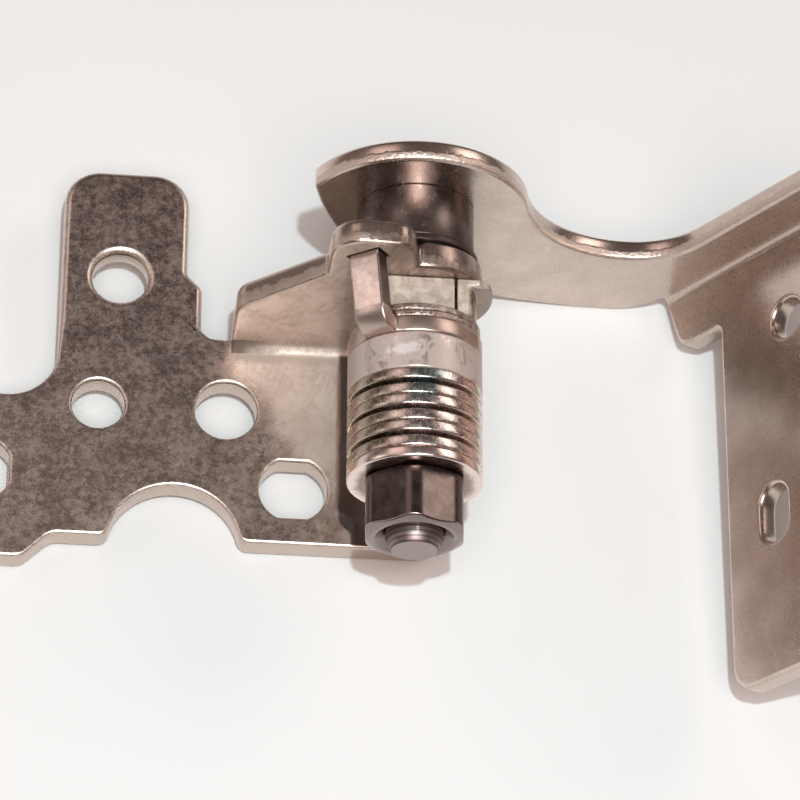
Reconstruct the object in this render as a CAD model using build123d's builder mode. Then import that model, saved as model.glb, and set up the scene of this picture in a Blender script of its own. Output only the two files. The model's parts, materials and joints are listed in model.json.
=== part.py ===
# Laptop lid hinge: a base bracket with an upright ear, a lid bracket on a curved arm, and the
# friction stack on the shaft between them. Millimetres, with the lid open as it was found.
# The origin is the centre of the inner base hole, on the mounting face. +Z is up from that face,
# +Y runs along the shaft towards the lid arm, and +X points from the base plate to the lid bracket.
import os
from math import acos, atan2, cos, degrees, hypot, radians, sin, sqrt

from build123d import *

os.makedirs("parts", exist_ok=True)

# Sheet stock, bends and clearances
base_sheet = 1.5
base_bend = 0.6  # inside radius of the ear's bend
lid_sheet = 1.2
lid_bend = 0.4  # inside radius of the lid flange's bend
running_gap = 0.05  # radial clearance of the shaft in the ear
key_gap = 0.03  # clearance of a keyed hole round the shaft
slot_gap = 0.1  # clearance round the finger in the ear's slot

# Pivot, measured from the inner base hole and the mounting face
pivot_x = 9.3
pivot_height = 8.5
ear_y = 3.95  # front face of the ear

# Base plate, in the plan view
plate_left = -16.2
plate_front_left = -9.1
plate_back_left = 0.33
plate_front = -7.65
plate_past_pivot = 2.4
step_x = -9.0  # where the front edge steps forward
step_corner = 1.0
tab_left = -9.07
tab_right = -2.27
tab_back = 14.17
tab_corner = 1.95
tab_root = 2.6
heel_right = -1.45  # wider foot of the tab
heel_back = 7.3
heel_corner = 0.5
relief_y = 4.25
relief_corner = 0.8
relief_width = 0.3
plate_corner = 1.6
arch_x = -2.58
arch_y = -8.06
arch_radius = 3.5
arch_corner = 0.6

# Base holes, from the inner one at the origin
inner_hole_radius = 1.65
outer_hole_radius = 1.4
outer_hole_x = -6.8
tab_hole_radius = 1.5
tab_hole_x = -5.9
tab_hole_y = 7.7
flatted_hole_radius = 1.8
flatted_hole_flat = 1.62  # half the width across the flats
front_hole_x = 3.66
front_hole_y = -4.45
end_hole_x = -12.95
end_hole_y = -4.15

# Ear, measured from the pivot except for its left end
ear_left = 0.2
wing_height = 5.75  # of the ear's left end above the mounting face
wing_corner = 1.5
wing_root = 0.45
lobe_left = -4.75
lobe_root = 1.5
lobe_top = 5.4
lobe_right = -0.6
lobe_fall = 0.25  # of the lobe's top from left to right
lobe_flank = 0.35  # where the lobe's right side would meet the pivot's height
lobe_corner = 1.7
lobe_shoulder = 1.1
ring_radius = 3.3
ring_shift = 0.25  # of the ring's centre beyond the shaft
ring_drop = 0.3

# Shaft
shaft_radius = 1.95
shaft_flat = 1.5  # half the width across the flats
thread_radius = 1.48
collar_radius = 3.08
collar_length = 3.03
tenon_radius = 2.0
tenon_flat = 1.6
peened_radius = 2.6
peened_height = 0.5
tip_length = 0.62  # of the shaft past the nut
tip_radius = 1.2
turned_edge = 0.12

# Stack on the shaft, from the ear to the nut
washer_radius = 3.5
bore_gap = 0.1  # radial clearance of the round washer holes
rear_washer_thick = 0.35
rear_washer_radius = 3.3
cam_thick = 2.3
cam_radius = 3.2
cam_flat = 1.95  # height of the cam's flat above the pivot
cam_slit_x = 1.92
cam_slit_width = 0.14
cam_slit_depth = 1.0
lug_thick = 0.4
lug_radius = 4.05
lug_start = 38.0  # degrees, from +X towards +Z
lug_sweep = 110.0
friction_thick = 0.36
friction_radius = 3.4
friction_count = 2
tab_washer_sheet = 0.95
finger_angle = 127.5  # degrees, from +X towards +Z
finger_width = 1.75
finger_bend = 0.25  # inside radius
finger_lean = 0.5  # outwards, between the bend and the ear
finger_knee = 0.3  # from the end of the lean to the ear
pressure_thick = 2.05
disc_sheet = 0.6
disc_cone = 0.135  # height of each spring's cone
disc_count = 6
end_washer_thick = 0.6
nut_flats = 5.0
nut_height = 3.1
nut_turn = 97.0  # degrees, one corner of the hexagon
nut_chamfer_angle = 30.0
nut_face = 2.3  # radius of the front face inside its crown
nut_countersink = 0.55

# Lid bracket, measured from the pivot
lid_rise = 59.0  # degrees of the lid bracket above the base plate
eye_radius = 6.05
eye_drop = 0.46  # of the eye's centre below the pivot
eye_flat = 3.9  # distance of the trimmed side's chord from the eye's centre
eye_bulge = 0.54  # of the trimmed side beyond that chord
eye_flat_angle = 206.0
valley_x = 12.0
valley_depth = 3.85
valley_radius = 4.1  # on the side of the bar
belly_x = 11.7
belly_depth = 9.8
heel_round = 1.5
flange_offset = 17.2  # of the flange's inner face from the pivot
flange_start = 0.5  # along the flange, from the foot of the pivot's normal
flange_end = 16.5
lobe_slant = 0.9
flange_lobe = 3.2  # depth of the lobe beside the arm
flange_lobe_corner = 1.0
flange_side = 4.7
flange_notch = 0.5
flange_depth = 24.7
flange_corner = 1.5
lid_hole_u = 9.87
lid_hole_depth = 4.8
lid_hole_radius = 1.1
lid_slot_u = 8.3
lid_slot_depth = 15.6
lid_slot_width = 2.0
lid_slot_length = 3.2

# Places along the shaft, going forwards from the ear
cam_front = ear_y - cam_thick
friction_front = cam_front - friction_count * friction_thick
tab_front = friction_front - tab_washer_sheet
pressure_front = tab_front - pressure_thick
disc_height = disc_sheet + disc_cone
discs_front = pressure_front - disc_count * disc_height
nut_back = discs_front - end_washer_thick
nut_front = nut_back - nut_height
shaft_tip = nut_front - tip_length
ear_back = ear_y + base_sheet
collar_front = ear_back + rear_washer_thick
eye_y = collar_front + collar_length
eye_back = eye_y + lid_sheet

plate_right = pivot_x + plate_past_pivot
bend_y = ear_y - base_bend
ear_foot = base_sheet + base_bend - pivot_height
shaft_axis = Axis((pivot_x, 0, pivot_height), (0, 1, 0))
bore_radius = shaft_radius + bore_gap


def station(y):
    # Plane across the shaft, seen from the nut: local x is +X, local y is +Z, forwards is -Y.
    return Plane(origin=(pivot_x, y, pivot_height), x_dir=(1, 0, 0), z_dir=(0, -1, 0))


def half_section(y):
    # Plane through the shaft: local x is the radius, local y runs along the shaft.
    return Plane(origin=(pivot_x, y, pivot_height), x_dir=(1, 0, 0), z_dir=(0, 0, 1))


def save(part, node):
    part.label = node
    export_step(part, f"parts/{node}.step")


def keyed_hole(radius, flat):
    # Round hole or bar with two flats, as a sketch in the running builder.
    Circle(radius)
    Rectangle(2 * radius, 2 * flat, mode=Mode.INTERSECT)


# Base bracket: stamped plate with the ear bent up along its back edge
base_outline = [
    (plate_left, plate_front_left),
    (step_x - (plate_front - plate_front_left), plate_front_left),
    (step_x, plate_front),
    (plate_right, plate_front),
    (plate_right, bend_y),
    (ear_left, bend_y),
    (ear_left - relief_width, bend_y),
    (ear_left - relief_width, relief_y),
    (heel_right, relief_y),
    (heel_right, heel_back),
    (tab_right, heel_back + heel_right - tab_right),
    (tab_right, tab_back),
    (tab_left, tab_back),
    (tab_left, plate_back_left),
    (plate_left, plate_back_left),
]
base_corners = [
    plate_corner,
    step_corner,
    step_corner,
    plate_corner,
    0,
    0,
    0,
    0,
    relief_corner,
    heel_corner,
    heel_corner,
    tab_corner,
    tab_corner,
    tab_root,
    plate_corner,
]
ear_outline = [
    (ear_left - pivot_x, ear_foot),
    (ear_left - pivot_x, wing_height - pivot_height),
    (lobe_left, lobe_root),
    (lobe_left, lobe_top),
    (lobe_right, lobe_top - lobe_fall),
    (lobe_flank, 0),
    (plate_past_pivot, 0),
    (plate_past_pivot, ear_foot),
]
ear_corners = [0, wing_corner, wing_root, lobe_corner, lobe_shoulder, 0, 0, 0]
finger_root = washer_radius + finger_bend
finger_inner = finger_root + finger_lean
finger_outer = finger_inner + tab_washer_sheet
finger_middle = (finger_inner + finger_outer) / 2

with BuildPart() as base_bracket:
    with BuildSketch():
        with BuildLine():
            FilletPolyline(*base_outline, radius=base_corners, close=True)
        make_face()
        with Locations((arch_x, arch_y)):
            Circle(arch_radius, mode=Mode.SUBTRACT)
        arch_ends = [v for v in vertices() if abs(hypot(v.X - arch_x, v.Y - arch_y) - arch_radius) < 0.01]
        fillet(arch_ends, arch_corner)
    extrude(amount=base_sheet)
    with BuildSketch(Plane.YZ.offset(ear_left)):
        with Locations((bend_y, base_sheet + base_bend)):
            Circle(base_sheet + base_bend)
            Circle(base_bend, mode=Mode.SUBTRACT)
            Rectangle(
                base_sheet + base_bend,
                base_sheet + base_bend,
                align=(Align.MIN, Align.MAX),
                mode=Mode.INTERSECT,
            )
    extrude(amount=plate_right - ear_left)
    with BuildSketch(station(ear_y)):
        with BuildLine():
            FilletPolyline(*ear_outline, radius=ear_corners, close=True)
        make_face()
        with Locations((ring_shift, -ring_drop)):
            Circle(ring_radius)
        Circle(shaft_radius + running_gap, mode=Mode.SUBTRACT)
        with Locations(Rot(0, 0, finger_angle) * Pos(finger_middle, 0, 0)):
            Rectangle(tab_washer_sheet + 2 * slot_gap, finger_width + 2 * slot_gap, mode=Mode.SUBTRACT)
    extrude(amount=-base_sheet)
    with Locations((0, 0, base_sheet)):
        Hole(inner_hole_radius)
    with Locations((outer_hole_x, 0, base_sheet)):
        Hole(outer_hole_radius)
    with Locations((tab_hole_x, tab_hole_y, base_sheet)):
        Hole(tab_hole_radius)
    for x, y, turn in ((front_hole_x, front_hole_y, 0), (end_hole_x, end_hole_y, 90)):
        with BuildSketch(Plane((x, y, 0)).rotated((0, 0, turn))):
            keyed_hole(flatted_hole_radius, flatted_hole_flat)
        extrude(amount=base_sheet, mode=Mode.SUBTRACT)
save(base_bracket.part, "base_bracket")

# Lid bracket: eye, curved arm and the slanted flange bent forwards from the bar
rise = radians(lid_rise)
along = Vector(cos(rise), 0, sin(rise))
inwards = Vector(-sin(rise), 0, cos(rise))
pivot = Vector(pivot_x, eye_y, pivot_height)
wall_foot = flange_offset - lid_bend


def on_bar(u, offset):
    # Point of the arm's face, at a distance along the bar and an offset from the pivot.
    spot = along * u - inwards * offset
    return (spot.X, spot.Z)


valley_left = (valley_x**2 + (valley_depth - eye_drop) ** 2 - eye_radius**2) / (
    2 * (eye_radius + valley_depth - eye_drop)
)
left_centre = (valley_x, valley_left - valley_depth)
right_centre = (valley_x, valley_radius - valley_depth)
eye_centre = (0, -eye_drop)
eye_turn = degrees(atan2(left_centre[1] + eye_drop, valley_x))
flat_half = degrees(acos(eye_flat / eye_radius))
bar_top = (right_centre[0] + valley_radius * sin(rise), right_centre[1] - valley_radius * cos(rise))
bar_offset = -(Vector(bar_top[0], 0, bar_top[1]).dot(inwards))
flat_low_angle = radians(eye_flat_angle + flat_half)
flat_low = (eye_radius * cos(flat_low_angle), eye_radius * sin(flat_low_angle) - eye_drop)
belly = (belly_x, -belly_depth)

flange_face = Plane(origin=pivot - inwards * flange_offset, x_dir=along, z_dir=inwards)
flange_outline = [
    (flange_start, -lid_bend),
    (flange_start + lobe_slant, -flange_lobe),
    (flange_side, -flange_lobe),
    (flange_side, -flange_depth),
    (flange_end, -flange_depth),
    (flange_end, -lid_bend),
]
flange_corners = [0, flange_lobe_corner, flange_notch, flange_corner, flange_corner, 0]

with BuildPart() as lid_bracket:
    with BuildSketch(station(eye_y)):
        with BuildLine():
            CenterArc(eye_centre, eye_radius, eye_turn, eye_flat_angle - flat_half - eye_turn)
            CenterArc(left_centre, valley_left, 180 + eye_turn, 90 - eye_turn)
            CenterArc(right_centre, valley_radius, 270, lid_rise)
            Polyline(
                bar_top,
                on_bar(flange_end, bar_offset),
                on_bar(flange_end, wall_foot),
                on_bar(flange_start, wall_foot),
            )
            TangentArc(belly, on_bar(flange_start, wall_foot), tangent=(1, 0))
            TangentArc(belly, flat_low, tangent=(-1, 0))
            flat_high = radians(eye_flat_angle - flat_half)
            bulge = eye_flat + eye_bulge
            ThreePointArc(
                flat_low,
                (bulge * cos(radians(eye_flat_angle)), bulge * sin(radians(eye_flat_angle)) - eye_drop),
                (eye_radius * cos(flat_high), eye_radius * sin(flat_high) - eye_drop),
            )
        make_face()
        fillet(vertices().sort_by_distance(flat_low)[0], heel_round)
        keyed_hole_size = (tenon_radius + key_gap, tenon_flat + key_gap)
        with BuildSketch(Plane.XY, mode=Mode.PRIVATE) as tenon_hole:
            keyed_hole(*keyed_hole_size)
        add(tenon_hole.sketch, mode=Mode.SUBTRACT)
    extrude(amount=-lid_sheet)
    with BuildSketch(Plane(origin=pivot + along * flange_start, x_dir=inwards, z_dir=along)):
        with Locations((-wall_foot, lid_bend)):
            Circle(lid_sheet + lid_bend)
            Circle(lid_bend, mode=Mode.SUBTRACT)
            Rectangle(
                lid_sheet + lid_bend,
                lid_sheet + lid_bend,
                align=(Align.MAX, Align.MAX),
                mode=Mode.INTERSECT,
            )
    extrude(amount=flange_end - flange_start)
    with BuildSketch(flange_face):
        with BuildLine():
            FilletPolyline(*flange_outline, radius=flange_corners, close=True)
        make_face()
        with Locations((lid_hole_u, -lid_hole_depth)):
            Circle(lid_hole_radius, mode=Mode.SUBTRACT)
        with Locations((lid_slot_u, -lid_slot_depth)):
            SlotOverall(lid_slot_length, lid_slot_width, rotation=90, mode=Mode.SUBTRACT)
    extrude(amount=-lid_sheet)
save(lid_bracket.part, "lid_bracket")

# Shaft: peened tenon, collar, journal with two flats and the threaded end
shaft_profile = [
    (0, shaft_tip),
    (tip_radius, shaft_tip),
    (thread_radius, nut_front),
    (thread_radius, nut_back),
    (shaft_radius, nut_back),
    (shaft_radius, collar_front),
    (collar_radius - turned_edge, collar_front),
    (collar_radius, collar_front + turned_edge),
    (collar_radius, eye_y),
    (tenon_radius, eye_y),
    (tenon_radius, eye_back),
    (peened_radius, eye_back),
    (peened_radius, eye_back + 0.4 * peened_height),
    (0.6 * peened_radius, eye_back + peened_height),
    (0, eye_back + peened_height),
]
with BuildPart() as hinge_shaft:
    with BuildSketch(half_section(0)):
        with BuildLine():
            Polyline(*shaft_profile, close=True)
        make_face()
    revolve(axis=shaft_axis)
    for y, length, radius, flat in (
        (ear_y, ear_y - nut_back, shaft_radius, shaft_flat),
        (eye_back, lid_sheet, tenon_radius, tenon_flat),
    ):
        with BuildSketch(station(y)):
            Circle(1.2 * radius)
            Rectangle(3 * radius, 2 * flat, mode=Mode.SUBTRACT)
        extrude(amount=length, mode=Mode.SUBTRACT)
save(hinge_shaft.part, "hinge_shaft")

# Thin washer between the collar and the ear
with BuildPart() as rear_washer:
    with BuildSketch(station(collar_front)):
        Circle(rear_washer_radius)
        Circle(bore_radius, mode=Mode.SUBTRACT)
    extrude(amount=rear_washer_thick)
save(rear_washer.part, "rear_washer")

# Stop cam: keyed disc with a flat and a slit, and a thin lug against the ear
with BuildPart() as stop_cam:
    with BuildSketch(station(ear_y)):
        Circle(cam_radius)
        with BuildLine():
            lug_arc = CenterArc((0, 0), lug_radius, lug_start, -lug_sweep)
            Polyline(lug_arc @ 1, (0, 0), lug_arc @ 0)
        make_face()
    extrude(amount=lug_thick)
    with BuildSketch(station(ear_y)):
        Circle(cam_radius)
    extrude(amount=cam_thick)
    with BuildSketch(station(ear_y)):
        with Locations((0, cam_flat)):
            Rectangle(2 * cam_radius, cam_radius, align=(Align.CENTER, Align.MIN))
        with Locations((cam_slit_x, cam_flat)):
            Rectangle(cam_slit_width, 2 * cam_slit_depth)
        with BuildSketch(Plane.XY, mode=Mode.PRIVATE) as cam_hole:
            keyed_hole(shaft_radius + key_gap, shaft_flat + key_gap)
        add(cam_hole.sketch)
    extrude(amount=cam_thick, mode=Mode.SUBTRACT)
save(stop_cam.part, "stop_cam")

# Thin friction washers
for index in range(friction_count):
    with BuildPart() as friction_washer:
        with BuildSketch(station(cam_front - index * friction_thick)):
            Circle(friction_radius)
            Circle(bore_radius, mode=Mode.SUBTRACT)
        extrude(amount=friction_thick)
    save(friction_washer.part, f"friction_washer_{index + 1}")

# Tab washer: its finger turns back over the stack and into the ear's slot
finger_plane = Plane(
    origin=(pivot_x, tab_front, pivot_height),
    x_dir=(cos(radians(finger_angle)), 0, sin(radians(finger_angle))),
    z_dir=(-sin(radians(finger_angle)), 0, cos(radians(finger_angle))),
)
bend_middle = tab_washer_sheet + finger_bend
finger_reach = ear_back - tab_front
knee_reach = ear_y - finger_knee - tab_front
with BuildPart() as tab_washer:
    with BuildSketch(station(friction_front)):
        Circle(washer_radius)
        Circle(bore_radius, mode=Mode.SUBTRACT)
    extrude(amount=tab_washer_sheet)
    with BuildSketch(finger_plane):
        with BuildLine():
            Line((bore_radius + bore_gap, 0), (washer_radius, 0))
            CenterArc((washer_radius, bend_middle), bend_middle, -90, 90)
            Polyline(
                (finger_root + tab_washer_sheet, bend_middle),
                (finger_outer, knee_reach),
                (finger_outer, finger_reach),
                (finger_inner, finger_reach),
                (finger_inner, knee_reach),
                (finger_root, bend_middle),
            )
            CenterArc((washer_radius, bend_middle), finger_bend, 0, -90)
            Polyline(
                (washer_radius, tab_washer_sheet),
                (bore_radius + bore_gap, tab_washer_sheet),
                (bore_radius + bore_gap, 0),
            )
        make_face()
    extrude(amount=finger_width / 2, both=True)
save(tab_washer.part, "tab_washer")

# Thick keyed washer that carries the springs
with BuildPart() as pressure_washer:
    with BuildSketch(station(tab_front)):
        Circle(washer_radius)
        with BuildSketch(Plane.XY, mode=Mode.PRIVATE) as pressure_hole:
            keyed_hole(shaft_radius + key_gap, shaft_flat + key_gap)
        add(pressure_hole.sketch, mode=Mode.SUBTRACT)
    extrude(amount=pressure_thick)
save(pressure_washer.part, "pressure_washer")

# Conical spring washers in alternating pairs, rim to rim and bore to bore
for index in range(disc_count):
    back = pressure_front - index * disc_height
    rim_back = back if index % 2 == 0 else back - disc_cone
    bore_back = back - disc_cone if index % 2 == 0 else back
    with BuildPart() as disc_spring:
        with BuildSketch(half_section(0)):
            with BuildLine():
                Polyline(
                    (bore_radius, bore_back),
                    (washer_radius, rim_back),
                    (washer_radius, rim_back - disc_sheet),
                    (bore_radius, bore_back - disc_sheet),
                    close=True,
                )
            make_face()
        revolve(axis=shaft_axis)
    save(disc_spring.part, f"disc_spring_{index + 1}")

# Flat keyed washer under the nut
with BuildPart() as end_washer:
    with BuildSketch(station(discs_front)):
        Circle(washer_radius)
        with BuildSketch(Plane.XY, mode=Mode.PRIVATE) as end_hole:
            keyed_hole(shaft_radius + key_gap, shaft_flat + key_gap)
        add(end_hole.sketch, mode=Mode.SUBTRACT)
    extrude(amount=end_washer_thick)
save(end_washer.part, "end_washer")

# Lock nut: hexagon with turned corners and a countersunk thread
corner_radius = nut_flats / sqrt(3)
crown_slope = sin(radians(nut_chamfer_angle)) / cos(radians(nut_chamfer_angle))
thread_bore = thread_radius + key_gap
with BuildPart() as lock_nut:
    with BuildSketch(station(nut_back)):
        RegularPolygon(corner_radius, 6, rotation=nut_turn)
    extrude(amount=nut_height)
    with BuildSketch(half_section(0)):
        with BuildLine():
            Polyline(
                (thread_bore, nut_back),
                (nut_flats / 2, nut_back),
                (corner_radius, nut_back - crown_slope * (corner_radius - nut_flats / 2)),
                (corner_radius, nut_front + crown_slope * (corner_radius - nut_face)),
                (nut_face, nut_front),
                (thread_bore + nut_countersink, nut_front),
                (thread_bore, nut_front + nut_countersink),
                close=True,
            )
        make_face()
    revolve(axis=shaft_axis, mode=Mode.INTERSECT)
save(lock_nut.part, "lock_nut")
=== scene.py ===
import json
import math

import bmesh
import bpy
from mathutils import Matrix, Vector


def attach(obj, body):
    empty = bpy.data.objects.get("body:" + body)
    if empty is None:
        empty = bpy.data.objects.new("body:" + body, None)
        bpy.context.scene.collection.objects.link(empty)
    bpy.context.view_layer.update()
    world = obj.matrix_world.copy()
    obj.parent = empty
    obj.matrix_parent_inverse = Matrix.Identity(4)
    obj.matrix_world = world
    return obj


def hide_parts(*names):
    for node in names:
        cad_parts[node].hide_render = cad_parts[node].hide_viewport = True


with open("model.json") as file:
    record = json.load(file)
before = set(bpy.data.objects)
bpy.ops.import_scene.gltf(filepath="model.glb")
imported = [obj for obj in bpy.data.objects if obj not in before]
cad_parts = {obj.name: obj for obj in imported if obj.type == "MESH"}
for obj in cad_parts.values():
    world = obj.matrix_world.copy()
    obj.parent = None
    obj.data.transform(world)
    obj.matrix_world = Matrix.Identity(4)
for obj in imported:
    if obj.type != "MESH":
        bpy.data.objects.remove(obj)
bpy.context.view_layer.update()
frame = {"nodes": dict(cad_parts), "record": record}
scene = bpy.context.scene
mm = 0.001
pivotLine = Vector((9.3, 0, 8.5))  # mm
print("frame loaded:", len(frame["nodes"]), "nodes")


# camera, solved from the plate's outline, the holes and the washer rims
hingeCamera = {
    "place": (-11.587, -90.113, 185.391),  # mm
    "right": (0.99335, 0.00418, 0.11505),
    "up": (-0.05461, 0.89686, 0.43893),
    "lens": 173.06, "sensor": 36,
    "clip": (0.01, 20),  # m
}


def addCamera():
    right = Vector(hingeCamera["right"]).normalized()
    back = right.cross(Vector(hingeCamera["up"])).normalized()
    turn = Matrix((right, back.cross(right), back)).transposed().to_4x4()
    data = bpy.data.cameras.new("hingeCamera")
    data.lens = hingeCamera["lens"]
    data.sensor_width = hingeCamera["sensor"]
    data.clip_start, data.clip_end = hingeCamera["clip"]
    camera = bpy.data.objects.new("hingeCamera", data)
    camera.matrix_world = Matrix.Translation(Vector(hingeCamera["place"]) * mm) @ turn
    scene.collection.objects.link(camera)
    scene.camera = camera


addCamera()
print("camera set")


# a small cool key overhead, warm panels round it and a dim room behind; sizes are along and across the shaft
studioLights = {
    "overheadKey": {"towards": (-0.015, -0.265, 0.964), "far": 0.25, "size": (0.006, 0.006), "power": 0.356,
                    "tint": (0.79, 0.975, 1.01)},
    "frontSoftbox": {"towards": (-0.02, -0.43, 0.9), "far": 0.6, "size": (0.3, 0.36), "power": 2.28,
                     "tint": (1.0, 0.83, 0.785)},
    "rightStrip": {"towards": (0.69, 0.45, 0.57), "far": 0.6, "size": (0.3, 0.21), "power": 0.6,
                   "tint": (1.0, 0.88, 0.82)},
    "leftFill": {"towards": (-0.54, 0.45, 0.72), "far": 0.6, "size": (0.3, 0.26), "power": 0.27,
                 "tint": (1.0, 0.8, 0.75)},
    "leftPanel": {"towards": (-0.9, 0.06, 0.42), "far": 0.6, "size": (0.28, 0.22), "power": 0.31,
                  "tint": (1.0, 0.88, 0.85)},
}
dimRoom = {"colour": (0.125, 0.095, 0.087), "strength": 1.0}
lightAim = Vector((6, 0, 4)) * mm


def addLights():
    for name, look in studioLights.items():
        data = bpy.data.lights.new(name, "AREA")
        data.shape = "RECTANGLE"
        data.size, data.size_y = look["size"]
        data.energy = look["power"]
        data.color = look["tint"]
        lamp = bpy.data.objects.new(name, data)
        away = Vector(look["towards"]).normalized()
        side = (Vector((0, 1, 0)) - away * away.y).normalized()
        turn = Matrix((side, away.cross(side), away)).transposed().to_4x4()
        lamp.matrix_world = Matrix.Translation(lightAim + away * look["far"]) @ turn
        lamp.visible_camera = False
        scene.collection.objects.link(lamp)
    world = bpy.data.worlds.new("dimRoom")
    world.use_nodes = True
    backdrop = world.node_tree.nodes["Background"]
    backdrop.inputs["Color"].default_value = (*dimRoom["colour"], 1)
    backdrop.inputs["Strength"].default_value = dimRoom["strength"]
    scene.world = world
    scene.view_settings.view_transform = "Standard"


addLights()
print("lights set")


# small helpers for the finishes
def addNode(tree, kind, sockets=None, **settings):
    made = tree.nodes.new("ShaderNode" + kind)
    for key, value in settings.items():
        setattr(made, key, value)
    for key, value in (sockets or {}).items():
        if isinstance(value, bpy.types.NodeSocket):
            tree.links.new(value, made.inputs[key])
        else:
            made.inputs[key].default_value = value
    return made


def newFinish(name, roughness=0.35, metallic=1.0):
    finish = bpy.data.materials.new(name)
    finish.use_nodes = True
    tree = finish.node_tree
    shader = tree.nodes["Principled BSDF"]
    shader.inputs["Metallic"].default_value = metallic
    shader.inputs["Roughness"].default_value = roughness
    place = tree.nodes.new("ShaderNodeTexCoord")
    return finish, tree, shader, place.outputs["Object"], place.outputs["Normal"]


def splitAxes(tree, vector):
    axes = addNode(tree, "SeparateXYZ", {0: vector})
    return axes.outputs[0], axes.outputs[1], axes.outputs[2]


def grain(tree, place, size, detail=2.0, rough=0.5, warp=0.0):
    # size is the grain's width in mm
    made = addNode(tree, "TexNoise", {"Vector": place, "Scale": 1 / (size * mm), "Detail": detail,
                                      "Roughness": rough, "Distortion": warp})
    return made.outputs["Fac"]


def stretched(tree, place, turn, lengths):
    # noise drawn out along a turned axis, lengths in mm
    laid = addNode(tree, "Mapping", {"Vector": place, "Rotation": turn}, vector_type="TEXTURE")
    drawn = addNode(tree, "Mapping", {"Vector": laid.outputs[0], "Scale": [1 / (n * mm) for n in lengths]})
    return addNode(tree, "TexNoise", {"Vector": drawn.outputs[0], "Scale": 1.0, "Detail": 2.0}).outputs["Fac"]


def ease(tree, value, low, high, start=0.0, end=1.0):
    made = addNode(tree, "MapRange", {"Value": value, "From Min": low, "From Max": high, "To Min": start,
                                      "To Max": end}, interpolation_type="SMOOTHSTEP")
    return made.outputs["Result"]


def sums(tree, kind, a, b=0.5, c=0.5):
    return addNode(tree, "Math", {0: a, 1: b, 2: c}, operation=kind).outputs[0]


def times(tree, first, *others):
    for other in others:
        first = sums(tree, "MULTIPLY", first, other)
    return first


def most(tree, a, b):
    return sums(tree, "MAXIMUM", a, b)


def rest(tree, share):
    return sums(tree, "SUBTRACT", 1.0, share)


def ruffle(tree, noise, amount, value):
    # a value made uneven by noise
    return sums(tree, "MULTIPLY_ADD", noise, amount, value)


def apart(tree, value, middle):
    # how far a value is from a middle in mm
    return sums(tree, "ABSOLUTE", sums(tree, "SUBTRACT", value, middle * mm))


def zone(tree, value, limits, start=0.0, end=1.0):
    # limits are in mm
    return ease(tree, value, limits[0] * mm, limits[1] * mm, start, end)


def tint(tree, share, a, b):
    a, b = [c if isinstance(c, bpy.types.NodeSocket) else (*c, 1) for c in (a, b)]
    return addNode(tree, "Mix", {0: share, 6: a, 7: b}, data_type="RGBA").outputs[2]


def relief(tree, height, depth, strength=1.0, below=None):
    # depth is the relief's height in mm
    sockets = {"Height": height, "Distance": depth * mm, "Strength": strength}
    if below is not None:
        sockets["Normal"] = below
    return addNode(tree, "Bump", sockets).outputs["Normal"]


def wire(tree, value, socket):
    tree.links.new(value, socket)


def blend(tree, share, a, b):
    return addNode(tree, "Mix", {0: share, 2: a, 3: b}).outputs[0]


def towards(tree, normal, direction):
    return addNode(tree, "VectorMath", {0: normal, 1: direction}, operation="DOT_PRODUCT").outputs["Value"]


def scratch(tree, place, start, end, width):
    # 1 on a straight line between two points, all in mm
    along = Vector(end) - Vector(start)
    arm = addNode(tree, "VectorMath", {0: place, 1: Vector(start) * mm}, operation="SUBTRACT").outputs[0]
    share = towards(tree, arm, along / along.length_squared / mm)
    share = addNode(tree, "Clamp", {0: share}).outputs[0]
    foot = addNode(tree, "VectorMath", {0: along * mm, "Scale": share}, operation="SCALE").outputs[0]
    away = addNode(tree, "VectorMath", {0: arm, 1: foot}, operation="DISTANCE").outputs["Value"]
    return ease(tree, away, width * mm, width * 0.4 * mm)


# mottled nickel of the base bracket; zones are in mm
plateLook = {
    "dark": (0.30, 0.242, 0.222), "light": (0.76, 0.62, 0.545), "fleck": (0.95, 0.86, 0.8),
    "violet": (0.46, 0.385, 0.39), "burnished": (0.53, 0.44, 0.38), "worn": (0.78, 0.68, 0.61),
    "side": (0.57, 0.465, 0.405), "face": (0.60, 0.495, 0.425), "stain": (0.40, 0.31, 0.255),
    "torn": (0.60, 0.485, 0.42), "ring": (0.25, 0.185, 0.155), "gouge": (0.06, 0.047, 0.042),
    "bright": (0.9, 0.8, 0.74),
    "grainSize": 0.11, "patchSize": 1.6, "smooth": 0.26, "coarse": 0.36, "scuffed": 0.42,
    "gouges": (((-9.91, -5.21, 1.5), (-9.2, -5.45, 1.5)), ((-9.4, -5.35, 1.5), (-8.48, -5.5, 1.5))),
    "dash": ((-10.29, -6.04, 1.5), (-9.35, -5.99, 1.5)),
    "crack": (((2.2, 3.95, 6.1), (2.42, 3.95, 4.9)), ((2.42, 3.95, 4.9), (2.34, 3.95, 4.0))),
}
plateZones = {
    "low": (2.0, 1.7), "lighterToFront": (9, -6),
    "rubbedLean": (1.7, 4.9), "rubbedFront": (-6.2, -1.6), "rubbedBack": (5.0, 4.2),
    "bendFront": (2.7, 3.2), "bendTop": (2.5, 2.1), "bendLeft": (0.1, 0.5), "bendBack": (4.05, 3.96),
    "shadowLeft": (6.1, 6.35), "shadowRight": (9.5, 6.9), "shadowNut": (-6.1, -7.0),
    "tornFront": (4.3, 4.5), "tornBack": (5.05, 4.85),
    "ringLeft": (7.0, 7.8), "ringLow": (9, 10), "lobeLow": (12.9, 13.5), "lobeFront": (4.2, 4.5),
}


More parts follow.
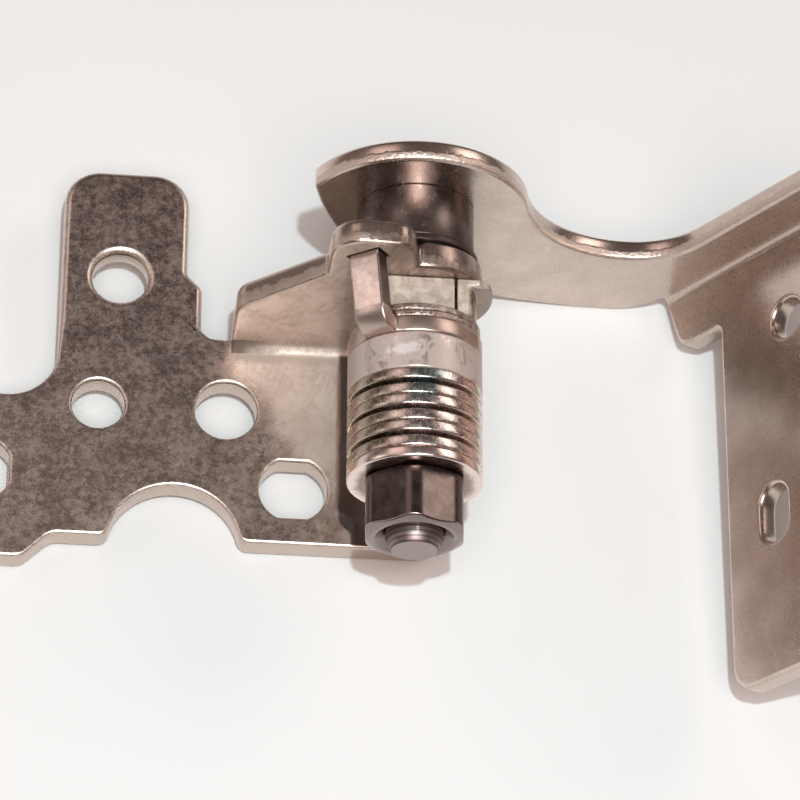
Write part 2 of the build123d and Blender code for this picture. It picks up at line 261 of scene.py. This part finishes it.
def plateFinish():
    finish, tree, shader, place, normal = newFinish("mottledNickel")
    look, spots = plateLook, plateZones
    x, y, z = splitAxes(tree, place)
    ny, nz = splitAxes(tree, normal)[1:]
    ny = sums(tree, "ABSOLUTE", ny)
    fine = grain(tree, place, look["grainSize"], 3.0, 0.7)
    fine = blend(tree, 0.42, fine, grain(tree, place, 0.34, 2.0))
    patch = grain(tree, place, look["patchSize"], 3.0, 0.6)
    speck = ease(tree, ruffle(tree, patch, 0.45, fine), 0.5, 0.95)
    fleck = ease(tree, grain(tree, place, 0.12, 2.0, 0.5), 0.62, 0.76)
    low = zone(tree, z, spots["low"])
    high = rest(tree, low)
    flat = times(tree, ease(tree, nz, 0.85, 0.97), low)
    # the plate is rubbed light between the inner hole and the bend
    lean = ruffle(tree, patch, 1.6 * mm, sums(tree, "MULTIPLY_ADD", y, 0.55, x))
    rubbed = times(tree, zone(tree, lean, spots["rubbedLean"]), flat,
                   zone(tree, y, spots["rubbedFront"], 0.25, 1.0), zone(tree, y, spots["rubbedBack"]))
    bend = times(tree, zone(tree, y, spots["bendFront"]), zone(tree, z, spots["bendTop"]),
                 zone(tree, x, spots["bendLeft"]), zone(tree, y, spots["bendBack"]))
    rubbed = most(tree, rubbed, bend)
    # scuffs run in two directions, over wavy ground
    waves = addNode(tree, "TexNoise", {"Vector": place, "Scale": 1 / (0.9 * mm), "Detail": 2.0})
    wavy = addNode(tree, "VectorMath", {0: waves.outputs["Color"], 1: (0.5 * mm,) * 3, 2: place},
                   operation="MULTIPLY_ADD").outputs[0]
    scuffA = stretched(tree, wavy, (0, 0, math.radians(70)), (2.2, 0.13, 1))
    scuffB = stretched(tree, wavy, (0, 0, math.radians(-25)), (1.2, 0.1, 1))
    scuff = ease(tree, ruffle(tree, scuffB, 0.6, scuffA), 0.74, 0.92)
    colour = tint(tree, speck, look["dark"], look["light"])
    violet = ease(tree, grain(tree, place, 0.8, 2.0), 0.5, 0.75, 0.0, 0.5)
    colour = tint(tree, violet, colour, look["violet"])
    colour = tint(tree, times(tree, fleck, 0.7), colour, look["fleck"])
    # the plate is made lighter towards the front
    colour = tint(tree, zone(tree, y, spots["lighterToFront"], 0.0, 0.45), colour, look["light"])
    colour = tint(tree, rest(tree, flat), colour, look["side"])
    marked = tint(tree, ease(tree, scuff, 0.0, 1.0, 0.0, 0.22), look["burnished"], look["stain"])
    marked = tint(tree, ease(tree, patch, 0.62, 0.4, 0.0, 0.55), marked, look["stain"])
    # the bend's crease is tinted toward the stain colour: painted shade that dims the bend's highlight
    marked = tint(tree, times(tree, bend, 0.55), marked, look["stain"])
    colour = tint(tree, times(tree, rubbed, 0.92), colour, marked)
    edge = times(tree, ease(tree, nz, 0.985, 0.9), ease(tree, nz, 0.25, 0.5), low,
                 ease(tree, fine, 0.35, 0.6, 0.35, 1.0))
    colour = tint(tree, edge, colour, look["worn"])
    # a painted shadow of the washers lies on the plate below them, reaching further right below the nut
    paintedShadow = sums(tree, "ADD", x, zone(tree, y, spots["shadowNut"], 0.0, -0.7 * mm))
    paintedShadow = ruffle(tree, patch, 0.3 * mm, paintedShadow)
    paintedShadow = times(tree, zone(tree, paintedShadow, spots["shadowLeft"]), zone(tree, paintedShadow, spots["shadowRight"]), flat, 0.85)
    colour = tint(tree, paintedShadow, colour, look["gouge"])
    # the ear's face is stained and ground, and its rim is torn in a ragged band
    face = times(tree, ease(tree, ny, 0.6, 0.9), high)
    ground = stretched(tree, place, (0, math.radians(20), 0), (0.1, 1, 1.8))
    blot = grain(tree, place, 1.1, 4.0, 0.65, 0.6)
    stain = ease(tree, ruffle(tree, ground, 0.4, blot), 0.55, 0.95)
    colour = tint(tree, face, colour, tint(tree, stain, look["face"], look["stain"]))
    ragged = ruffle(tree, grain(tree, place, 0.4, 3.0), 0.7 * mm, y)
    torn = times(tree, zone(tree, ragged, spots["tornFront"]), zone(tree, ragged, spots["tornBack"]),
                 ease(tree, ny, 0.5, 0.2), high, ease(tree, blot, 0.3, 0.6, 0.3, 1.0))
    colour = tint(tree, torn, colour, look["torn"])
    # the ear's ring and the top of its lobe are tinted dark brown: partly their own brown tone, partly
    # painted shade
    ring = times(tree, zone(tree, x, spots["ringLeft"]), zone(tree, z, spots["ringLow"]))
    lobe = times(tree, zone(tree, z, spots["lobeLow"]), zone(tree, y, spots["lobeFront"], 0.0, 0.7))
    ring = most(tree, ring, lobe)
    browned = times(tree, ring, ease(tree, ground, 0.35, 0.65, 0.75, 1.0))
    colour = tint(tree, browned, colour, look["ring"])
    for start, end in look["gouges"] + look["crack"]:
        mark = times(tree, scratch(tree, wavy, start, end, 0.06), 0.75)
        colour = tint(tree, mark, colour, look["gouge"])
    colour = tint(tree, scratch(tree, wavy, *look["dash"], 0.05), colour, look["bright"])
    wire(tree, colour, shader.inputs["Base Color"])
    # oxide dulls the rubbed zone and the ear, so they take shadows
    shine = ease(tree, most(tree, rubbed, face), 0.0, 1.0, 1.0, 0.5)
    wire(tree, blend(tree, ring, shine, 0.85), shader.inputs["Metallic"])
    rough = ease(tree, speck, 0.0, 1.0, look["smooth"], look["coarse"])
    rough = blend(tree, flat, 0.27, rough)
    rough = blend(tree, edge, rough, 0.45)
    rough = blend(tree, rubbed, rough, ruffle(tree, scuff, 0.12, look["scuffed"]))
    rough = blend(tree, most(tree, face, torn), rough, 0.42)
    rough = blend(tree, bend, rough, 0.6)
    wire(tree, rough, shader.inputs["Roughness"])
    bumps = relief(tree, fine, 0.012, 0.3)
    bumps = relief(tree, times(tree, scuff, rubbed), 0.012, 0.22, bumps)
    bumps = relief(tree, times(tree, ground, face), 0.012, 0.5, bumps)
    bumps = relief(tree, times(tree, torn, grain(tree, place, 0.17, 3.0, 0.65)), 0.05, 0.7, bumps)
    wire(tree, bumps, shader.inputs["Normal"])
    return finish


# satin nickel of the lid bracket, with a torn band along its stamped rim
lidLook = {
    "base": (0.66, 0.55, 0.49), "dull": (0.53, 0.44, 0.385), "torn": (0.74, 0.61, 0.54),
    "flange": (0.65, 0.532, 0.468), "rubbed": (0.79, 0.66, 0.588), "inwards": (-0.857, 0, 0.515),
    "roughness": 0.25,
    "rimBegins": (8.87, 8.93), "tornEnds": (9.56, 9.44), "armPaintedDarker": (14, 22),  # mm
}


def lidFinish():
    finish, tree, shader, place, normal = newFinish("satinNickel", lidLook["roughness"])
    x, y = splitAxes(tree, place)[:2]
    ny = splitAxes(tree, normal)[1]
    fine = grain(tree, place, 0.14, 2.0, 0.6)
    patch = grain(tree, place, 2.2, 3.0, 0.55)
    colour = tint(tree, ease(tree, patch, 0.25, 0.75), lidLook["dull"], lidLook["base"])
    # painted shade: the arm darkens away from the eye, so the eye's face stays lighter
    colour = tint(tree, zone(tree, x, lidLook["armPaintedDarker"], 0.0, 0.5), colour, lidLook["dull"])
    # the flange's inner face, picked by its normal, takes a lighter tone: painted light, mottled by random
    # patches
    inside = ease(tree, towards(tree, normal, lidLook["inwards"]), 0.6, 0.95)
    flange = tint(tree, ease(tree, patch, 0.3, 0.7), lidLook["flange"], lidLook["rubbed"])
    colour = tint(tree, inside, colour, flange)
    rim = times(tree, zone(tree, y, lidLook["rimBegins"]), ease(tree, sums(tree, "ABSOLUTE", ny), 0.9, 0.4))
    ragged = ruffle(tree, grain(tree, place, 0.35, 3.0), 0.35 * mm, y)
    torn = times(tree, rim, zone(tree, ragged, lidLook["tornEnds"]))
    colour = tint(tree, torn, colour, lidLook["torn"])
    wire(tree, colour, shader.inputs["Base Color"])
    rough = ease(tree, fine, 0.3, 0.7, lidLook["roughness"] - 0.02, lidLook["roughness"] + 0.03)
    wire(tree, blend(tree, torn, rough, 0.38), shader.inputs["Roughness"])
    bumps = relief(tree, fine, 0.006, 0.06)
    bumps = relief(tree, times(tree, torn, grain(tree, place, 0.2, 3.0, 0.65)), 0.08, 0.8, bumps)
    wire(tree, bumps, shader.inputs["Normal"])
    return finish


# dark plating of the shaft and the rear washer, greased and painted in shade where they meet the ear, rubbed
# at the tip; zones in mm
shaftLook = {"dark": (0.175, 0.143, 0.133), "worn": (0.52, 0.44, 0.4), "soil": (0.085, 0.064, 0.057),
             "thread": (0.27, 0.215, 0.2), "end": (0.36, 0.293, 0.275),
             "soiledAndShaded": (7.9, 6.6), "tip": (-8.0, -9.0), "pitch": 0.24}


def shaftFinish():
    finish, tree, shader, place, normal = newFinish("darkPlating")
    y = splitAxes(tree, place)[1]
    ny = splitAxes(tree, normal)[1]
    patch = grain(tree, place, 0.7, 4.0, 0.65)
    fine = grain(tree, place, 0.09, 2.0)
    speck = ease(tree, times(tree, patch, fine), 0.34, 0.44)
    colour = tint(tree, speck, shaftLook["dark"], shaftLook["worn"])
    soiledAndShaded = zone(tree, ruffle(tree, patch, 1.4 * mm, y), shaftLook["soiledAndShaded"])
    colour = tint(tree, soiledAndShaded, colour, shaftLook["soil"])
    tip = zone(tree, y, shaftLook["tip"])
    colour = tint(tree, tip, colour, shaftLook["thread"])
    colour = tint(tree, times(tree, tip, ease(tree, ny, -0.8, -0.95)), colour, shaftLook["end"])
    # the thread's turns on the tip take the same dark colour: grease and painted shade in its grooves
    turnings = sums(tree, "SINE", times(tree, y, math.tau / (shaftLook["pitch"] * mm)))
    turnings = times(tree, ease(tree, turnings, 0.2, 0.9), tip, ease(tree, ny, -0.9, -0.8), 0.7)
    colour = tint(tree, turnings, colour, shaftLook["soil"])
    wire(tree, colour, shader.inputs["Base Color"])
    rough = ease(tree, patch, 0.3, 0.7, 0.24, 0.4)
    wire(tree, blend(tree, soiledAndShaded, rough, 0.45), shader.inputs["Roughness"])
    wire(tree, relief(tree, fine, 0.008, 0.35), shader.inputs["Normal"])
    return finish


# brown plating of the nut, rubbed grey on its crown
nutLook = {"flat": (0.135, 0.106, 0.097), "rubbed": (0.28, 0.23, 0.215), "edge": (0.45, 0.38, 0.355)}


def nutFinish():
    finish, tree, shader, place, normal = newFinish("brownPlating")
    patch = grain(tree, place, 0.8, 4.0, 0.6)
    fine = grain(tree, place, 0.1, 2.0)
    forwards = towards(tree, normal, (0, -1, 0))
    crown = ease(tree, forwards, 0.3, 0.6)
    bright = times(tree, ease(tree, forwards, 0.05, 0.3), rest(tree, crown))
    share = most(tree, crown, ease(tree, patch, 0.58, 0.75, 0.0, 0.4))
    colour = tint(tree, share, nutLook["flat"], nutLook["rubbed"])
    colour = tint(tree, bright, colour, nutLook["edge"])
    wire(tree, colour, shader.inputs["Base Color"])
    wire(tree, ease(tree, patch, 0.3, 0.7, 0.22, 0.34), shader.inputs["Roughness"])
    wire(tree, relief(tree, fine, 0.005, 0.2), shader.inputs["Normal"])
    return finish


# plated washers: the tab washer browned round its ring, its finger darker at its waist and painted in shade
# on its side; zones in mm
washerLook = {
    "base": (0.66, 0.56, 0.515), "dull": (0.52, 0.43, 0.385), "ring": (0.56, 0.44, 0.38),
    "bright": (0.86, 0.715, 0.65), "shade": (0.2, 0.15, 0.13), "rust": (0.17, 0.095, 0.085),
    "fingerSide": (0.793, 0.0, 0.609), "fingerFront": (1.0, 1.2), "fingerMiddle": 1.7,
    "ringFront": (-0.4, -0.2), "ringBack": (1.1, 0.8), "endWasher": (-5.8, -6.0), "endFace": (-6.4, -6.5),
    "fingerWaist": (0.5, 0.1), "nutShadeReach": (3.75, 3.15),
}


def washerFinish():
    finish, tree, shader, place, normal = newFinish("platedWasher")
    look = washerLook
    x, y, z = splitAxes(tree, place)
    patch = grain(tree, place, 1.0, 3.0, 0.6)
    fine = grain(tree, place, 0.4, 2.0)
    colour = tint(tree, ease(tree, patch, 0.35, 0.7), look["dull"], look["base"])
    ring = times(tree, zone(tree, y, look["ringFront"]), zone(tree, y, look["ringBack"]))
    browned = tint(tree, ease(tree, patch, 0.4, 0.65), look["ring"], look["dull"])
    colour = tint(tree, ring, colour, browned)
    finger = zone(tree, y, look["fingerFront"])
    shade = times(tree, finger, ease(tree, towards(tree, normal, look["fingerSide"]), 0.6, 0.9))
    middle = zone(tree, apart(tree, y, look["fingerMiddle"]), look["fingerWaist"], 0.0, 0.45)
    colour = tint(tree, times(tree, finger, middle), colour, look["ring"])
    colour = tint(tree, shade, colour, look["shade"])
    # the end washer is bright; round the nut its face is painted dark red-brown, as painted shade and a
    # painted reflection of the nut
    colour = tint(tree, zone(tree, y, look["endWasher"], 0.0, 0.8), colour, look["bright"])
    spoke = addNode(tree, "CombineXYZ", {0: sums(tree, "SUBTRACT", x, pivotLine.x * mm),
                                         2: sums(tree, "SUBTRACT", z, pivotLine.z * mm)}).outputs[0]
    reach = addNode(tree, "VectorMath", {0: spoke}, operation="LENGTH").outputs["Value"]
    reach = ruffle(tree, patch, 0.9 * mm, reach)
    rust = times(tree, zone(tree, reach, look["nutShadeReach"]), zone(tree, y, look["endFace"]), 0.8)
    colour = tint(tree, rust, colour, look["rust"])
    wire(tree, colour, shader.inputs["Base Color"])
    rough = ease(tree, fine, 0.3, 0.7, 0.21, 0.28)
    wire(tree, blend(tree, most(tree, shade, ring), rough, 0.36), shader.inputs["Roughness"])
    wire(tree, relief(tree, patch, 0.06, 0.12), shader.inputs["Normal"])
    return finish


# the cam's flat is filled with pale grease; zones in mm
camLook = {"steel": (0.36, 0.28, 0.24), "grease": (0.60, 0.51, 0.45), "smudge": (0.48, 0.395, 0.335),
           "rimmed": (0.27, 0.21, 0.18), "filled": (10.3, 10.55), "thinLeft": (7.6, 7.0),
           "thinFront": (1.75, 1.5)}


def camFinish():
    finish, tree, shader, place, _ = newFinish("greasedCam")
    x, y, z = splitAxes(tree, place)
    lump = grain(tree, place, 0.7, 3.0, 0.5, 0.15)
    fine = grain(tree, place, 0.13, 2.0)
    grease = zone(tree, ruffle(tree, lump, 0.5 * mm, z), camLook["filled"])
    smear = tint(tree, ease(tree, lump, 0.4, 0.6), camLook["smudge"], camLook["grease"])
    # the grease thins out to brown beside the finger and the washers
    thin = most(tree, zone(tree, ruffle(tree, lump, -0.8 * mm, x), camLook["thinLeft"]),
                zone(tree, ruffle(tree, lump, -0.5 * mm, y), camLook["thinFront"]))
    smear = tint(tree, thin, smear, camLook["rimmed"])
    colour = tint(tree, grease, camLook["steel"], smear)
    wire(tree, colour, shader.inputs["Base Color"])
    wire(tree, ease(tree, grease, 0, 1, 1.0, 0.2), shader.inputs["Metallic"])
    wire(tree, ease(tree, lump, 0.3, 0.7, 0.24, 0.42), shader.inputs["Roughness"])
    bumps = relief(tree, times(tree, grease, lump), 0.25, 0.5)
    wire(tree, relief(tree, fine, 0.006, 0.2, bumps), shader.inputs["Normal"])
    return finish


# a thin film of grease over the thick washer, wiped off in one patch; zones in mm
filmLook = {"steel": (0.62, 0.51, 0.465), "film": (0.50, 0.415, 0.38), "wiped": (0.70, 0.63, 0.61),
            "wipedX": 8.4, "wipedY": -0.9, "wipedWide": (2.4, 1.6), "wipedLong": (1.15, 0.75)}


def filmFinish():
    finish, tree, shader, place, _ = newFinish("greasyWasher")
    x, y = splitAxes(tree, place)[:2]
    drawn = stretched(tree, place, (0, 0, 0), (0.14, 1.4, 0.14))
    blot = grain(tree, place, 0.9, 3.0, 0.6, 0.8)
    film = ease(tree, ruffle(tree, drawn, 0.3, blot), 0.3, 0.75)
    colour = tint(tree, film, filmLook["steel"], filmLook["film"])
    crumb = grain(tree, place, 0.45, 3.0, 0.6)
    wide = ruffle(tree, crumb, 2.6 * mm, apart(tree, x, filmLook["wipedX"]))
    long = ruffle(tree, crumb, 1.2 * mm, apart(tree, y, filmLook["wipedY"]))
    wiped = times(tree, zone(tree, wide, filmLook["wipedWide"]), zone(tree, long, filmLook["wipedLong"]))
    colour = tint(tree, wiped, colour, filmLook["wiped"])
    wire(tree, colour, shader.inputs["Base Color"])
    wire(tree, ease(tree, most(tree, film, wiped), 0, 1, 1.0, 0.3), shader.inputs["Metallic"])
    wire(tree, ease(tree, film, 0, 1, 0.27, 0.42), shader.inputs["Roughness"])
    wire(tree, relief(tree, times(tree, film, drawn), 0.02, 0.5), shader.inputs["Normal"])
    return finish


# bronze of the friction washers
bronzeLook = {"base": (0.60, 0.50, 0.45), "dull": (0.33, 0.255, 0.22)}


def bronzeFinish():
    finish, tree, shader, place, _ = newFinish("frictionBronze", 0.3)
    patch = grain(tree, place, 0.5, 4.0, 0.65)
    colour = tint(tree, ease(tree, patch, 0.35, 0.65), bronzeLook["dull"], bronzeLook["base"])
    wire(tree, colour, shader.inputs["Base Color"])
    wire(tree, ease(tree, patch, 0.3, 0.7, 0.28, 0.42), shader.inputs["Roughness"])
    wire(tree, relief(tree, patch, 0.2, 0.6), shader.inputs["Normal"])
    return finish


# tempered spring discs: blue at the top of the first ones, straw on the left, bare on the right; zones in mm
springLook = {"steel": (0.66, 0.57, 0.53), "straw": (0.46, 0.38, 0.305), "blue": (0.34, 0.44, 0.44),
              "bare": (0.70, 0.585, 0.52), "topX": 9.4, "sides": (2.6, 3.4), "rightOf": (9, 11),
              "blueTop": (2.1, 1.6), "blueBack": (-4.4, -3.2)}


def springFinish():
    finish, tree, shader, place, _ = newFinish("temperedSteel", 0.24)
    x, y = splitAxes(tree, place)[:2]
    broad = grain(tree, place, 1.6, 3.0, 0.55, 0.5)
    aside = ruffle(tree, broad, 2.2 * mm, apart(tree, x, springLook["topX"]))
    sides = tint(tree, zone(tree, x, springLook["rightOf"]), springLook["straw"], springLook["bare"])
    colour = tint(tree, zone(tree, aside, springLook["sides"]), springLook["steel"], sides)
    blue = times(tree, zone(tree, aside, springLook["blueTop"]), zone(tree, y, springLook["blueBack"]), 0.8)
    colour = tint(tree, blue, colour, springLook["blue"])
    wire(tree, colour, shader.inputs["Base Color"])
    dent = grain(tree, place, 0.26, 4.0, 0.65)
    wire(tree, ease(tree, dent, 0.35, 0.65, 0.17, 0.34), shader.inputs["Roughness"])
    wire(tree, relief(tree, dent, 0.05, 0.32, relief(tree, broad, 0.1, 0.2)), shader.inputs["Normal"])
    return finish


# bodies, from the record
bodyOf = {n: b for b, names in frame["record"]["behaviour"]["bodies"].items() for n in names}

# rules for rolling edges over: angles in degrees, distances in metres
edgeRules = {"merge": 2e-7, "cut": 1e-8, "flat": 0.2, "sharp": 32, "evenWeight": 50}


# each piece is the CAD node's form with its edges rolled over; rim is in mm
def dressNode(name, finish, rim, weigh=None, segments=3, cuts=((9.3, 0, 0),)):
    # cuts run square to an axis through the holes, so that no flat face is left with a hole in it
    mesh = frame["nodes"][name].data.copy()
    shape = bmesh.new()
    shape.from_mesh(mesh)
    bmesh.ops.remove_doubles(shape, verts=shape.verts, dist=edgeRules["merge"])
    for spot in cuts:
        whole = shape.verts[:] + shape.edges[:] + shape.faces[:]
        cut = bmesh.ops.bisect_plane(shape, geom=whole, dist=edgeRules["cut"], plane_co=Vector(spot) * mm,
                                     plane_no=Vector(spot).normalized())
        for item in cut["geom_cut"]:
            if isinstance(item, bmesh.types.BMEdge):
                item.seam = True
    bmesh.ops.dissolve_limit(shape, angle_limit=math.radians(edgeRules["flat"]), verts=shape.verts,
                             edges=shape.edges, delimit={"SEAM"})
    weight = shape.edges.layers.float.new("bevel_weight_edge")
    for edge in shape.edges:
        if len(edge.link_faces) == 2 and edge.calc_face_angle() > math.radians(edgeRules["sharp"]):
            middle = (edge.verts[0].co + edge.verts[1].co) / 2 / mm
            edge[weight] = weigh(middle) if weigh else 1.0
    for face in shape.faces:
        face.smooth = True
    shape.to_mesh(mesh)
    shape.free()
    mesh.materials.clear()
    mesh.materials.append(finish)
    words = name.split("_")
    piece = bpy.data.objects.new(words[0] + "".join(w.title() for w in words[1:]), mesh)
    scene.collection.objects.link(piece)
    roll = piece.modifiers.new("rolledEdges", "BEVEL")
    roll.limit_method = "WEIGHT"
    roll.width = rim * mm
    roll.segments = segments
    roll.profile = 0.5
    roll.loop_slide = False
    roll.use_clamp_overlap = False
    even = piece.modifiers.new("evenShading", "WEIGHTED_NORMAL")
    even.weight = edgeRules["evenWeight"]
    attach(piece, bodyOf[name])
    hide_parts(name)


# stamping rolls the ear's back outline far over, the plate's edges less; sizes in mm, angles in degrees
baseEdges = {
    "rim": 0.42, "segments": 4,
    "plate": 0.48, "earFront": 0.5, "slot": 0.12, "crisp": 0.3,  # shares of the rim
    "bend": Vector((0, 3.35, 2.1)), "bendMiddle": 1.3, "plateTop": 2.0, "frontOf": 5.4, "shaftHole": 2.3,
    "reliefX": (-0.15, 0.25), "reliefY": (3.15, 4.2), "reliefTop": 2.2,
    "fingerAngle": 127.5, "slotReach": (4.0, 5.4), "slotHalf": 1.1, "crispTurn": (-35, 35),
    "cuts": ((0, 1e-9, 0), (0, 7.7, 0), (0, 4.85, 0),
             (3.66, 0, 0), (-12.95, 0, 0), (6.42, 0, 0), (9.3, 0, 0)),
}


def between(limits, value):
    return limits[0] < value < limits[1]


def weighBase(middle):
    bend = middle - baseEdges["bend"]
    if bend.y > 0 and bend.z < 0 and math.hypot(bend.y, bend.z) > baseEdges["bendMiddle"]:
        share = math.atan2(bend.y, -bend.z) / math.radians(90)
        return baseEdges["plate"] + (1 - baseEdges["plate"]) * share
    inRelief = between(baseEdges["reliefX"], middle.x) and between(baseEdges["reliefY"], middle.y)
    if inRelief and middle.z < baseEdges["reliefTop"]:
        return 0.0
    if middle.z < baseEdges["plateTop"]:
        return baseEdges["plate"]
    across = Vector((middle.x - pivotLine.x, 0, middle.z - pivotLine.z))
    turn = math.radians(baseEdges["fingerAngle"])
    outwards = across.dot(Vector((math.cos(turn), 0, math.sin(turn))))
    aside = across.dot(Vector((-math.sin(turn), 0, math.cos(turn))))
    inSlot = between(baseEdges["slotReach"], outwards) and abs(aside) < baseEdges["slotHalf"]
    if inSlot or across.length < baseEdges["shaftHole"]:
        return baseEdges["slot"]
    if middle.y < baseEdges["frontOf"]:
        return baseEdges["earFront"]
    if across.x > 0:
        # the back edge stays crisper where it meets the washer
        first, last = baseEdges["crispTurn"]
        share = (math.degrees(math.atan2(across.z, across.x)) - first) / (last - first)
        return 1 - (1 - baseEdges["crisp"]) * min(max(share, 0), 1)
    return 1.0


mottledNickel = plateFinish()
dressNode("base_bracket", mottledNickel, baseEdges["rim"], weighBase, baseEdges["segments"],
          baseEdges["cuts"])

# dirt packed level in the relief slit beside the ear's foot
reliefFill = {"middle": (0.05, 3.8, 0.75), "size": (0.3, 0.9, 1.5), "edge": 0.2, "slack": 0.001}


def fillRelief():
    shape = bmesh.new()
    bmesh.ops.create_cube(shape, size=mm)
    bmesh.ops.scale(shape, vec=reliefFill["size"], verts=shape.verts)
    bmesh.ops.translate(shape, vec=Vector(reliefFill["middle"]) * mm, verts=shape.verts)
    slack = reliefFill["slack"] * mm
    back = max(vert.co.y for vert in shape.verts) - slack
    rear = [e for e in shape.edges if all(v.co.y > back for v in e.verts) and
            abs(e.verts[0].co.z - e.verts[1].co.z) < slack]
    bmesh.ops.bevel(shape, geom=rear, offset=reliefFill["edge"] * mm, affect="EDGES", segments=4, profile=0.5,
                    material=-1)
    mesh = bpy.data.meshes.new("reliefFill")
    shape.to_mesh(mesh)
    shape.free()
    mesh.materials.append(mottledNickel)
    piece = bpy.data.objects.new("reliefFill", mesh)
    scene.collection.objects.link(piece)
    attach(piece, "base")


fillRelief()

lidEdges = {"rim": 0.25, "cuts": ((9.3, 0, 0), (0, 4.03, 0), (0, -6.77, 0))}
dressNode("lid_bracket", lidFinish(), lidEdges["rim"], cuts=lidEdges["cuts"])

# lock nut: a spun profile held in by a hexagon with well turned corners
lockNut = {
    "flats": 5.0, "turned": 1.1, "corner": 97.0, "soft": 0.1, "steps": 192,
    "profile": ((1.53, -7.08), (2.4, -7.08), (2.887, -7.3), (2.887, -9.84), (2.3, -10.18), (2.08, -10.18),
                (1.53, -9.63)),
    "cuts": (3, 8, 12, 16, 2, 5, 1),
}


def hexReach(angle):
    # reach of the hexagon from its middle, the angle counted from a corner
    aside = math.radians((angle + 30) % 60 - 30)
    turned, half = lockNut["turned"], lockNut["flats"] / 2
    halfSide = math.radians(30)
    centre = (half - turned) / math.cos(halfSide)
    edge = math.atan2(turned / 2, centre + turned * math.cos(halfSide))
    if abs(aside) < edge:
        return centre * math.cos(aside) + math.sqrt(turned ** 2 - (centre * math.sin(aside)) ** 2)
    return half / math.cos(halfSide - abs(aside))


def fixOrder(elements, placeOf):
    # spin gives its vertices and faces in a new order each run
    for index, element in enumerate(sorted(elements, key=lambda e: [round(c, 7) for c in placeOf(e)])):
        element.index = index
    elements.sort()


def buildNut():
    shape = bmesh.new()
    corners = [shape.verts.new(pivotLine * mm + Vector((r, y, 0)) * mm) for r, y in lockNut["profile"]]
    edges = [shape.edges.new((a, b)) for a, b in zip(corners, corners[1:] + corners[:1])]
    for edge, cuts in zip(edges, lockNut["cuts"]):
        bmesh.ops.subdivide_edges(shape, edges=[edge], cuts=cuts)
    bmesh.ops.spin(shape, geom=shape.verts[:] + shape.edges[:], cent=pivotLine * mm, axis=(0, 1, 0),
                   angle=math.tau, steps=lockNut["steps"], use_merge=True)
    bmesh.ops.remove_doubles(shape, verts=shape.verts, dist=edgeRules["merge"])
    for vert in shape.verts:
        across = Vector((vert.co.x, 0, vert.co.z)) / mm - pivotLine
        across.y = 0
        limit = hexReach(math.degrees(math.atan2(across.z, across.x)) - lockNut["corner"])
        spun, soft = across.length, lockNut["soft"]
        share = min(max(0.5 + 0.5 * (limit - spun) / soft, 0), 1)
        reach = limit + (spun - limit) * share - soft * share * (1 - share)
        vert.co += across.normalized() * (reach - spun) * mm
    bmesh.ops.recalc_face_normals(shape, faces=shape.faces)
    fixOrder(shape.verts, lambda vert: vert.co)
    fixOrder(shape.faces, lambda face: face.calc_center_median())
    for face in shape.faces:
        face.smooth = True
    mesh = bpy.data.meshes.new("lockNut")
    shape.to_mesh(mesh)
    shape.free()
    mesh.materials.append(nutFinish())
    piece = bpy.data.objects.new("lockNut", mesh)
    scene.collection.objects.link(piece)
    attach(piece, bodyOf["lock_nut"])
    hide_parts("lock_nut")


buildNut()

# the shaft and its stack, with the widths of their rolled edges in mm
stackPieces = (
    (shaftFinish, {"hinge_shaft": 0.07, "rear_washer": 0.04}),
    (washerFinish, {"end_washer": 0.12, "tab_washer": 0.13}),
    (camFinish, {"stop_cam": 0.1}),
    (filmFinish, {"pressure_washer": 0.1}),
    (bronzeFinish, {"friction_washer_1": 0.07, "friction_washer_2": 0.07}),
    (springFinish, {f"disc_spring_{number}": 0.1 for number in range(1, 7)}),
)
for makeFinish, rims in stackPieces:
    finish = makeFinish()
    for name, rim in rims.items():
        dressNode(name, finish, rim)
print("pieces dressed")


# pale table top under the hinge's three resting points
tableTop = {"size": 3.0, "normal": (-0.006, 0.082, 0.997), "level": (0, 0, -0.69),  # size in m, level in mm
            "colour": (0.758, 0.768, 0.768), "cloudSize": 30, "cloudShade": 0.985, "roughness": 0.5,
            "specular": 0.2}


def addTable():
    mesh = bpy.data.meshes.new("tableTop")
    shape = bmesh.new()
    bmesh.ops.create_grid(shape, x_segments=1, y_segments=1, size=tableTop["size"] / 2)
    turn = Vector(tableTop["normal"]).to_track_quat("Z", "Y").to_matrix().to_4x4()
    laid = Matrix.Translation(Vector(tableTop["level"]) * mm) @ turn
    bmesh.ops.transform(shape, matrix=laid, verts=shape.verts)
    shape.to_mesh(mesh)
    shape.free()
    finish, tree, shader, place, _ = newFinish("paleTable", tableTop["roughness"], 0.0)
    cloud = grain(tree, place, tableTop["cloudSize"], 2.0)
    darker = [c * tableTop["cloudShade"] for c in tableTop["colour"]]
    shade = tint(tree, ease(tree, cloud, 0.3, 0.7), tableTop["colour"], darker)
    wire(tree, shade, shader.inputs["Base Color"])
    shader.inputs["Specular IOR Level"].default_value = tableTop["specular"]
    mesh.materials.append(finish)
    table = bpy.data.objects.new("tableTop", mesh)
    scene.collection.objects.link(table)


addTable()
print("table laid")

bpy.context.view_layer.update()
